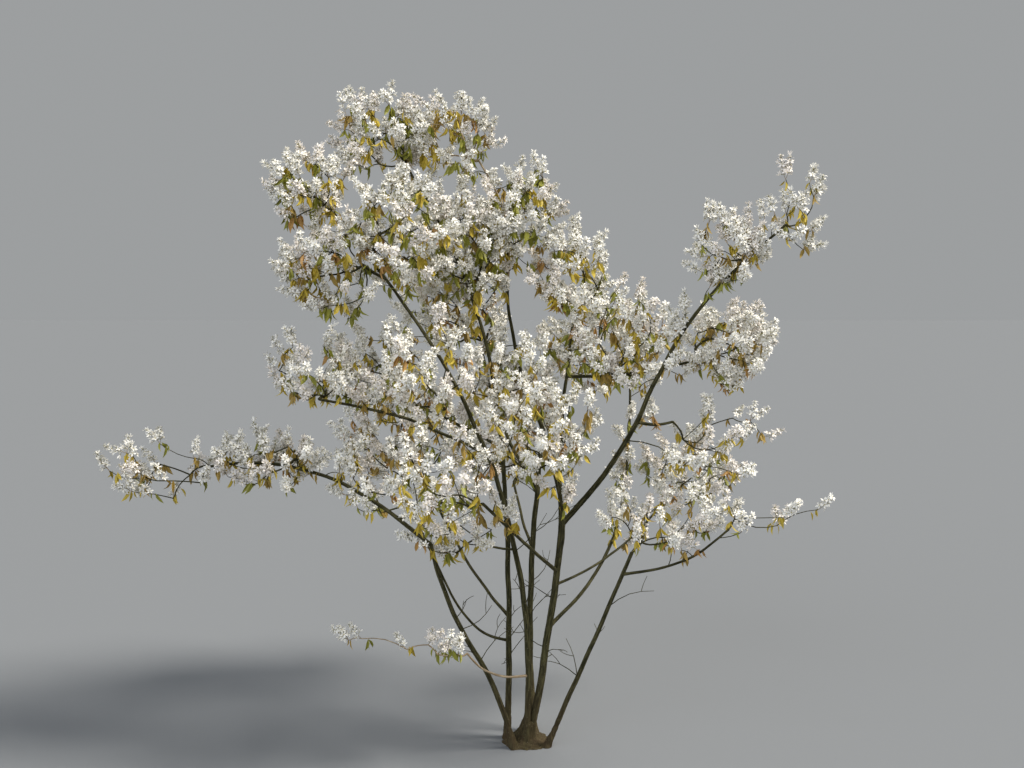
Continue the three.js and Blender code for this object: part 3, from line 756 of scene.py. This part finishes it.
# Bare side twigs. Low down, inside the clump, the stems bear a few thin twigs without blossom, each with
# one or two forks.
BARE_TWIGS = 4  # on each stem
BARE_SHARES = (0.20, 0.80)  # stretch of the stem that they leave
BARE_LENGTHS = (0.07, 0.20)
BARE_RADII = (0.0019, 0.0009)  # at the foot and at the tip
BARE_RISE = (0.3, 1.3)  # how much they climb
FORKS = (1, 2)  # on a twig
FORK_POINTS = (2, 3)  # points of the twig that a fork may leave
FORK_SPLAY = 0.8  # how far a fork turns from the twig
FORK_LENGTH = 0.4  # as a share of the twig's
FORK_RADIUS = 0.7  # at its foot, as a share of the twig's

rng = Random("bare twigs")
bare = []
for name in STEMS:
    for _ in range(BARE_TWIGS):
        foot = point_at(limbs[name], rng.uniform(*BARE_SHARES))
        turn = rng.uniform(0, 2 * pi)
        run = Vector((cos(turn), sin(turn), rng.uniform(*BARE_RISE))).normalized()
        run *= rng.uniform(*BARE_LENGTHS)
        bare.append(twig_line(foot, foot + run, *BARE_RADII, rng))
        for _ in range(rng.choice(FORKS)):
            fork = Vector(bare[-1].points[rng.choice(FORK_POINTS)])
            aside = (run.normalized() + any_way(rng, FORK_SPLAY)) * run.length * FORK_LENGTH
            bare.append(twig_line(fork, fork + aside, FORK_RADIUS * BARE_RADII[0], BARE_RADII[1], rng))
piece = grow("twigs_bare", limb_nodes, line_mesh(bare), material=bark, **TWIG_SKIN)
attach(piece, "root")


# Blossom. Each spray ends in one to three upright racemes: stalks with stalked flowers round them, each
# with five narrow white petals round a yellow-green cup and a ring of stamens.
RACEMES = ((1, 2, 3), (4, 5, 1))  # in a spray, and how often
RACEME_LENGTH = 0.068
RACEME_SPLAY = 0.55  # how far the racemes of a spray part
RACEME_SIZES = (0.8, 1.15)  # least and most, against the usual
RACEME_AIM = (0.35, 0.55)  # how far it follows its twig and the way out of the mass, against straight up
STALK_RADIUS = 0.0009
STALK_TAPER = (1.2, 0.7)  # its radius at both ends, against that
STALK_BOW = 0.08
STALK_POINTS = 4
STALK_SIDES = 3
FLOWERS = 11  # in a raceme
MORE_FLOWERS = (-1, 0, 0, 1, 2)  # than that, or fewer
FIRST_FLOWER = 0.22  # share of the stalk below the lowest flower
PEDICEL = 0.0125  # stalk of the lowest flower
PEDICEL_FALL = 0.35  # how much shorter that of the topmost is
LEAN_OUT = 0.75  # how much of its lean outwards the topmost flower has lost
LEAN_ALONG = (0.30, 0.55)  # how much the lowest leans along the stalk, and how much more the topmost
LEAN_UP = 0.10
LEAN_STRAY = 0.16
FLOWER_SIZES = (0.88, 1.12)
GOLDEN_TURN = radians(137.5)
PETALS = 5
PETAL_SEED = 12
PETAL_LENGTH = 0.0135
PETAL_LENGTHS = (0.9, 1.08)  # least and most, against that
PETAL_LIFTS = (0.75, 1.25)
PETAL_TURN = 0.16  # how far a petal stands from its even place in the ring
PETAL_TWIST = 0.45  # how far one edge rises over the other
FLOWER_EYE = 0.0016  # radius of the ring that the petals spring from
# Half the petal's width at shares of its length; from the last of these it narrows to a point.
PETAL_OUTLINE = ((0, 0.0010), (0.58, 0.0035))
# For each shape of flower: how far its petals rise and their tips fall back, as shares of their length,
# and how often it comes.
FLOWER_SHAPES = {
    "cupped": (0.62, 0.10, 5), "flat": (0.20, 0.14, 4), "half_open": (1.15, 0.05, 2),
    "turned_back": (0.34, 0.46, 4),
}
# The second tint is pinker than the white and a little darker: the pink is the petals' own colour, the
# darkness is painted shade.
PETAL_TINTS = {"white": (0.90, 0.885, 0.835), "blush": (0.88, 0.835, 0.79)}
TINT_WEIGHTS = (3, 1)  # how often each comes
GLOSS_STRAY = 0.08  # how much a skin's roughness varies from patch to patch
GLOSS_PATCHES = 90  # how many of them lie in a metre


def small_mesh(name, corners, faces):
    """A mesh of a few smooth faces."""
    mesh = bpy.data.meshes.new(name)
    mesh.from_pydata(corners, [], faces)
    mesh.shade_smooth()
    return mesh


def petal_mesh(name, rise, fall, rng):
    """Five narrow petals, each a curved strap of a few faces, none quite like the next."""
    corners, faces = [], []
    for k in range(PETALS):
        turn = 2 * pi * k / PETALS + rng.uniform(-PETAL_TURN, PETAL_TURN)
        out = Vector((cos(turn), sin(turn), 0))
        twist = rng.uniform(-PETAL_TWIST, PETAL_TWIST)
        across = Vector((-sin(turn), cos(turn), twist)).normalized()
        length = PETAL_LENGTH * rng.uniform(*PETAL_LENGTHS)
        lift = rise * rng.uniform(*PETAL_LIFTS)
        # The steeper a petal is, the less far out it reaches.
        spread = sqrt(max(0.1, 1 - lift * lift * 0.5))

        def strap(s):
            reach = FLOWER_EYE + length * s * spread
            return out * reach + UP * length * (lift * s - fall * s * s)

        first = len(corners)
        for share, half in PETAL_OUTLINE:
            corners += [strap(share) - across * half, strap(share) + across * half]
        corners.append(strap(1))
        faces += [(first, first + 1, first + 3, first + 2), (first + 2, first + 3, first + 4)]
    return small_mesh(name, corners, faces)


def stamen_mesh(name):
    """A low dome with a ring of stamens standing round it."""
    dome, top, rim = 0.0017, 0.0014, 0.0002  # radius of the dome, height of its middle and of its rim
    count, tip, stand = 4, 0.0038, 0.0040  # of the stamens, how far out they end, and how high
    inset, foot_height, half = 0.7, 0.0004, 0.00045  # share of the dome, height and half width of a foot
    turns = [2 * pi * k / count for k in range(count)]
    corners = [(0, 0, top), *((dome * cos(turn), dome * sin(turn), rim) for turn in turns)]
    faces = [(0, 1 + k, 1 + (k + 1) % count) for k in range(count)]
    for turn in turns:
        first = len(corners)
        out, across = Vector((cos(turn), sin(turn), 0)), Vector((-sin(turn), cos(turn), 0))
        foot = out * dome * inset + UP * foot_height
        corners += [foot - across * half, foot + across * half, out * tip + UP * stand]
        faces.append((first, first + 1, first + 2))
    return small_mesh(name, corners, faces)


def cup_mesh(name):
    """The green cup under the petals and the bent stalk that holds it."""
    sides = 3
    # Height and radius of each level, and how far it stands aside.
    levels = ((-PEDICEL, 0.0005, 0.0030), (-0.0055, 0.0006, 0), (0.0002, 0.0021, 0))
    turns = [2 * pi * k / sides for k in range(sides)]
    corners, faces = [], []
    for z, radius, aside in levels:
        corners += [(aside + radius * cos(turn), radius * sin(turn), z) for turn in turns]
    for low in range(0, len(corners) - sides, sides):
        for k in range(sides):
            after = (k + 1) % sides
            faces.append((low + k, low + after, low + sides + after, low + sides + k))
    return small_mesh(name, corners, faces)


def shape_collection(name, meshes):
    """The shapes that a tree may choose from, kept out of the scene."""
    collection = bpy.data.collections.new(name)
    for mesh in meshes:
        collection.objects.link(bpy.data.objects.new(mesh.name, mesh))
    return collection


def scatter_tree():
    """Geometry Nodes: sets a small shape on every point, turned, sized and chosen as the point says."""
    given = {"Points": "Geometry", "Shapes": "Collection", "Material": "Material"}
    tree, inputs = new_tree("set out", "GeometryNodeTree", given, {"Pieces": "Geometry"})

    facing = told(tree, "facing", "FLOAT_VECTOR")
    aimed = put(tree, "FunctionNodeAlignRotationToVector", {"Vector": facing}, axis="Z")
    spin = put(tree, "FunctionNodeAxisAngleToRotation", {"Angle": told(tree, "spin")})
    wires = {"Rotation": aimed, "Rotate By": spin}
    turned = put(tree, "FunctionNodeRotateRotation", wires, rotation_space="LOCAL")
    shapes = put(tree, "GeometryNodeCollectionInfo", {
        "Collection": inputs["Shapes"], "Separate Children": True, "Reset Children": True,
    })
    placed = put(tree, "GeometryNodeInstanceOnPoints", {
        "Points": inputs["Points"], "Instance": shapes, "Pick Instance": True,
        "Instance Index": told(tree, "shape", "INT"), "Rotation": turned, "Scale": told(tree, "size"),
    })
    return close_tree(tree, "Pieces", placed, inputs["Material"])


def plain_material(name, colour, roughness, sheen=0, specular=0.3):
    """A skin of one colour with a faint unevenness in its gloss."""
    values = {"Base Color": (*colour, 1), "Specular IOR Level": specular, "Sheen Weight": sheen}
    material, tree, surface, coordinates = new_material(name, values)
    patch = put(tree, "ShaderNodeTexNoise", {"Vector": coordinates, "Scale": GLOSS_PATCHES, "Detail": 2})
    wires = {"Value": patch, "To Min": roughness - GLOSS_STRAY, "To Max": roughness + GLOSS_STRAY}
    tree.links.new(put(tree, "ShaderNodeMapRange", wires), surface.inputs["Roughness"])
    return material


Spot = namedtuple("Spot", "place facing spin size shape")


def set_out(name, spots, shapes, material):
    """One piece with a small shape at every spot, turned, sized and chosen as the spot says."""
    mesh = bpy.data.meshes.new("spots")
    mesh.from_pydata([spot.place for spot in spots], [], [])
    for field in ("facing", "spin", "size", "shape"):
        mark(mesh, field, [getattr(spot, field) for spot in spots])
    return grow(name, scatter, mesh, shapes=shapes, material=material)


def raceme(foot, axis, scale, rng):
    """A raceme: its stalk as a line, and the spots of its flowers, which spiral up round it."""
    side = axis.orthogonal().normalized()
    other = axis.cross(side)
    length = RACEME_LENGTH * scale
    low, high = (STALK_RADIUS * share for share in STALK_TAPER)
    stalk = twig_line(foot, foot + axis * length, low, high, rng, STALK_BOW, STALK_POINTS)
    count = FLOWERS + rng.choice(MORE_FLOWERS)
    first_turn = rng.uniform(0, 2 * pi)
    flowers = []
    for k in range(count):
        up_stalk = k / (count - 1)
        turn = first_turn + k * GOLDEN_TURN
        out = side * cos(turn) + other * sin(turn)
        along = axis * (LEAN_ALONG[0] + LEAN_ALONG[1] * up_stalk)
        lean = out * (1 - LEAN_OUT * up_stalk ** 3) + along + UP * LEAN_UP
        lean = (lean.normalized() + any_way(rng, LEAN_STRAY)).normalized()
        start = foot + axis * length * (FIRST_FLOWER + (1 - FIRST_FLOWER) * up_stalk)
        pedicel = PEDICEL * (1 - PEDICEL_FALL * up_stalk)
        size = rng.uniform(*FLOWER_SIZES)
        shape = rng.choices(range(len(shape_weights)), shape_weights)[0]
        flowers.append(Spot(start + lean * pedicel, lean, rng.uniform(0, 2 * pi), size, shape))
    return stalk, flowers


scatter = scatter_tree()
rng = Random(PETAL_SEED)
shape_weights = [weight for _, _, weight in FLOWER_SHAPES.values()]
petal_shapes = shape_collection("petal shapes", [
    petal_mesh("petals_" + name, rise, fall, rng) for name, (rise, fall, _) in FLOWER_SHAPES.items()
])
stamen_shapes = shape_collection("stamen shapes", [stamen_mesh("stamens")])
cup_shapes = shape_collection("cup shapes", [cup_mesh("cup")])
petal_tints = {
    tint: plain_material("petal_" + tint, colour, roughness=0.62, sheen=0.15)
    for tint, colour in PETAL_TINTS.items()
}
stamen_tint = plain_material("stamen", (0.58, 0.50, 0.22), roughness=0.7)
cup_tint = plain_material("flower_cup", (0.30, 0.29, 0.12), roughness=0.6)

for side, masses in MASSES.items():
    rng = Random("racemes " + side)
    stalks, flowers = [], {tint: [] for tint in petal_tints}
    for node in grown[side]:
        run = (node["place"] - node["parent"]["place"]).normalized()
        outward = (node["place"] - node["centre"]).normalized()
        axis = (run * RACEME_AIM[0] + outward * RACEME_AIM[1] + UP).normalized()
        node["axis"], node["run"] = axis, run
        # Each spray gets one tint for all its petals; the second tint is partly painted shade.
        tint = rng.choices(list(PETAL_TINTS), TINT_WEIGHTS)[0]
        for _ in range(rng.choices(*RACEMES)[0]):
            way = (axis + any_way(rng) * RACEME_SPLAY).normalized()
            stalk, spots = raceme(node["place"], way, rng.uniform(*RACEME_SIZES), rng)
            stalks.append(stalk)
            flowers[tint] += spots
    every = [spot for spots in flowers.values() for spot in spots]
    pieces = [
        set_out(f"petals_{tint}_{side}", spots, petal_shapes, petal_tints[tint])
        for tint, spots in flowers.items()
    ]
    pieces.append(set_out(f"stamens_{side}", every, stamen_shapes, stamen_tint))
    pieces.append(set_out(f"cups_{side}", every, cup_shapes, cup_tint))
    pieces.append(grow(
        f"stalks_{side}", limb_nodes, line_mesh(stalks), material=young_bark, sides=STALK_SIDES,
        **SMOOTH_SKIN,
    ))
    for piece in pieces:
        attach(piece, "root")
        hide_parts(*("blossom_" + name for name in masses))


# Leaves. Young leaves hang in a bunch under each raceme, still folded along the midrib. They open
# copper and bronze and turn gold and olive green, so each spray has leaves of one age.
LEAF_LENGTH = 0.051
LEAF_WIDTH = 0.0195
LEAF_TINTS = {
    "olive": (0.265, 0.265, 0.035),
    "gold": (0.500, 0.380, 0.045),
    "bronze": (0.360, 0.245, 0.055),
    "copper": (0.420, 0.235, 0.065),
}
# On each side of the crown, the share of a spray's leaves that are out, their size, and how often each
# tint comes.
LEAF_AGES = {
    "top": (1.0, 1.0, (46, 38, 12, 4)),
    "left": (0.7, 0.85, (26, 40, 24, 10)),
    "middle": (0.9, 0.95, (34, 38, 20, 8)),
    "right": (0.75, 0.78, (16, 44, 28, 12)),
    "back": (0.9, 0.95, (34, 38, 20, 8)),
}
LEAF_COUNTS = (3, 4, 5, 6, 7, 8)  # in a bunch
LEAF_SIZES = (0.65, 1.2)
LEAF_TURN = 0.4  # how far a leaf stands from its even place round the twig
LEAF_DROP = (-4.5, -0.9)  # how far it hangs down, against how far it points out
LEAF_RISE = 0.010  # how far up the raceme the topmost stands
LEAF_STRETCH = 0.036  # length of the twig's end that bears the leaves
# Shares of the blade's length, with its width and its curl there, against its greatest width and length.
LEAF_OUTLINE = ((0.10, 0.10, 0.00), (0.38, 0.92, 0.03), (0.70, 0.80, 0.10))
TIP_CURL = 0.26
# How far each shape of leaf is folded along its midrib, and how much it curls.
LEAF_SHAPES = {"folded": (52, 0.6), "open": (22, 1.2), "young": (38, 2.0)}


def leaf_mesh(name, fold, curl):
    """A blade folded along its midrib, on a short stalk, curling back towards its tip."""
    corners, faces = [(0, 0, 0)], [(0, 2, 1), (0, 3, 2)]
    for share, wide, bend in LEAF_OUTLINE:
        half = wide * LEAF_WIDTH / 2
        back = -curl * bend * LEAF_LENGTH
        z = share * LEAF_LENGTH
        aside, edge = half * cos(fold), back + half * sin(fold)
        corners += [(-aside, edge, z), (0, back, z), (aside, edge, z)]
    corners.append((0, -curl * TIP_CURL * LEAF_LENGTH, LEAF_LENGTH))
    for low in (1, 4):
        faces += [(low, low + 1, low + 4, low + 3), (low + 1, low + 2, low + 5, low + 4)]
    faces += [(7, 8, 10), (8, 9, 10)]
    mesh = bpy.data.meshes.new(name)
    mesh.from_pydata(corners, [], faces)
    return mesh


leaf_shapes = shape_collection("leaf shapes", [
    leaf_mesh("leaf_" + name, radians(fold), curl) for name, (fold, curl) in LEAF_SHAPES.items()
])
leaf_tints = {
    tint: plain_material("leaf_" + tint, colour, roughness=0.5, specular=0.4)
    for tint, colour in LEAF_TINTS.items()
}

for side, masses in MASSES.items():
    rng = Random("leaves " + side)
    share, growth, weights = LEAF_AGES[side]
    leaves = {tint: [] for tint in leaf_tints}
    for node in grown[side]:
        tint = rng.choices(list(leaf_tints), weights)[0]
        count = round(share * rng.choice(LEAF_COUNTS))
        first_turn = rng.uniform(0, 2 * pi)
        for k in range(count):
            turn = first_turn + 2 * pi * k / count + rng.uniform(-LEAF_TURN, LEAF_TURN)
            out = Vector((cos(turn), sin(turn), rng.uniform(*LEAF_DROP)))
            place = node["place"] + LEAF_RISE * node["axis"] - node["run"] * LEAF_STRETCH * rng.random()
            shape = rng.choice(range(len(LEAF_SHAPES)))
            size = growth * rng.uniform(*LEAF_SIZES)
            leaves[tint].append(Spot(place, out.normalized(), rng.uniform(0, 2 * pi), size, shape))
    for tint, spots in leaves.items():
        piece = set_out(f"leaves_{tint}_{side}", spots, leaf_shapes, leaf_tints[tint])
        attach(piece, "root")
        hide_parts(*("blossom_" + name for name in masses))

for collection in (petal_shapes, stamen_shapes, cup_shapes, leaf_shapes):
    bpy.data.batch_remove([*collection.objects, collection])


# Studio. A plain pale floor under soft light: a wide warm lamp high on the right, a weak cool one from
# the front left, and an even sky.
FLOOR_HALF = 200  # half the floor's width
SKY_COLOUR = (0.558, 0.575, 0.583)
SKY_STRENGTH = 0.60
# The way each lamp shines, its spread in degrees, its strength and its colour.
LAMPS = {
    "key": ((-0.76, 0.14, -0.88), 18, 4.25, (1.0, 0.95, 0.86)),
    "fill": ((0.55, 0.80, -0.45), 60, 1.30, (0.90, 0.94, 1.0)),
}

floor = bpy.data.objects.new("floor", bpy.data.meshes.new("floor"))
corners = [(FLOOR_HALF * x, FLOOR_HALF * y, 0) for x, y in ((-1, -1), (1, -1), (1, 1), (-1, 1))]
floor.data.from_pydata(corners, [], [(0, 1, 2, 3)])
surface = plain_material("floor", (0.222, 0.234, 0.250), roughness=0.9, specular=0.1)
floor.data.materials.append(surface)
bpy.context.collection.objects.link(floor)
floor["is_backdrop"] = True

world = bpy.data.worlds.new("sky")
world.use_nodes = True
world.node_tree.nodes["Background"].inputs["Color"].default_value = (*SKY_COLOUR, 1)
world.node_tree.nodes["Background"].inputs["Strength"].default_value = SKY_STRENGTH
bpy.context.scene.world = world

for name, (toward, spread, strength, colour) in LAMPS.items():
    light = bpy.data.objects.new(name, bpy.data.lights.new(name, "SUN"))
    light.data.angle = radians(spread)
    light.data.energy = strength
    light.data.color = colour
    light.rotation_euler = Vector(toward).to_track_quat("-Z", "Y").to_euler()
    bpy.context.collection.objects.link(light)
bpy.context.scene.view_settings.view_transform = "Standard"

low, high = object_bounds()
